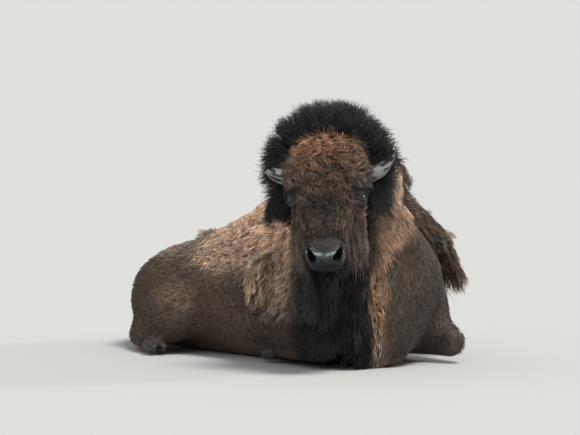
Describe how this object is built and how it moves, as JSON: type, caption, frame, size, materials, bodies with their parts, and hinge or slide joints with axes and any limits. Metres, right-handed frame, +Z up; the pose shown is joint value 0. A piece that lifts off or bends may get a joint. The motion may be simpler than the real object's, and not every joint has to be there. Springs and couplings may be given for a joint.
{
  "type": "bison",
  "caption": "Life-size American bison in spring moult, lying on its chest with its head up and turned to its right; a still model.",
  "frame": {"origin": "on the floor, under the middle of the whole animal's bounding box", "axes": "+Z up, +Y towards the rump, so the chest faces -Y; +X is the animal's left. The face is turned to the animal's right, between -Y and -X"},
  "size_m": [1.0306, 1.963, 0.9975],
  "materials": {
    "dark_wool": "long soft black-brown hair",
    "face_wool": "tight red-brown curls on the forehead, dark brown on the face",
    "body_wool": "faded tan-brown wavy wool",
    "short_coat": "short smooth dark brown new coat",
    "shed_wool": "matted loose winter wool",
    "horn": "weathered grey horn, ringed at the base",
    "hoof": "dull dark horn",
    "eye": "wet dark brown"
  },
  "bodies": {
    "root": {"ruff": "dark_wool", "throat_mane": "dark_wool", "beard": "dark_wool", "ear_left": "dark_wool", "ear_right": "dark_wool", "lower_jaw": "dark_wool", "head": "face_wool", "forelock": "face_wool", "hump": "body_wool", "neck": "body_wool", "barrel": "body_wool", "hindquarters": "body_wool", "tail": "body_wool", "chest": "short_coat", "muzzle": "short_coat", "foreleg_left": "short_coat", "foreleg_right": "short_coat", "hindleg_left": "short_coat", "hindleg_right": "short_coat", "wool_flap_left": "shed_wool", "wool_clump_right": "shed_wool", "wool_tuft_back": "shed_wool", "horn_left": "horn", "horn_right": "horn", "claw_front_left_outer": "hoof", "claw_front_left_inner": "hoof", "claw_front_right_outer": "hoof", "claw_front_right_inner": "hoof", "claw_hind_left_outer": "hoof", "claw_hind_left_inner": "hoof", "claw_hind_right_outer": "hoof", "claw_hind_right_inner": "hoof", "eye_left": "eye", "eye_right": "eye"}
  },
  "joints": []
}
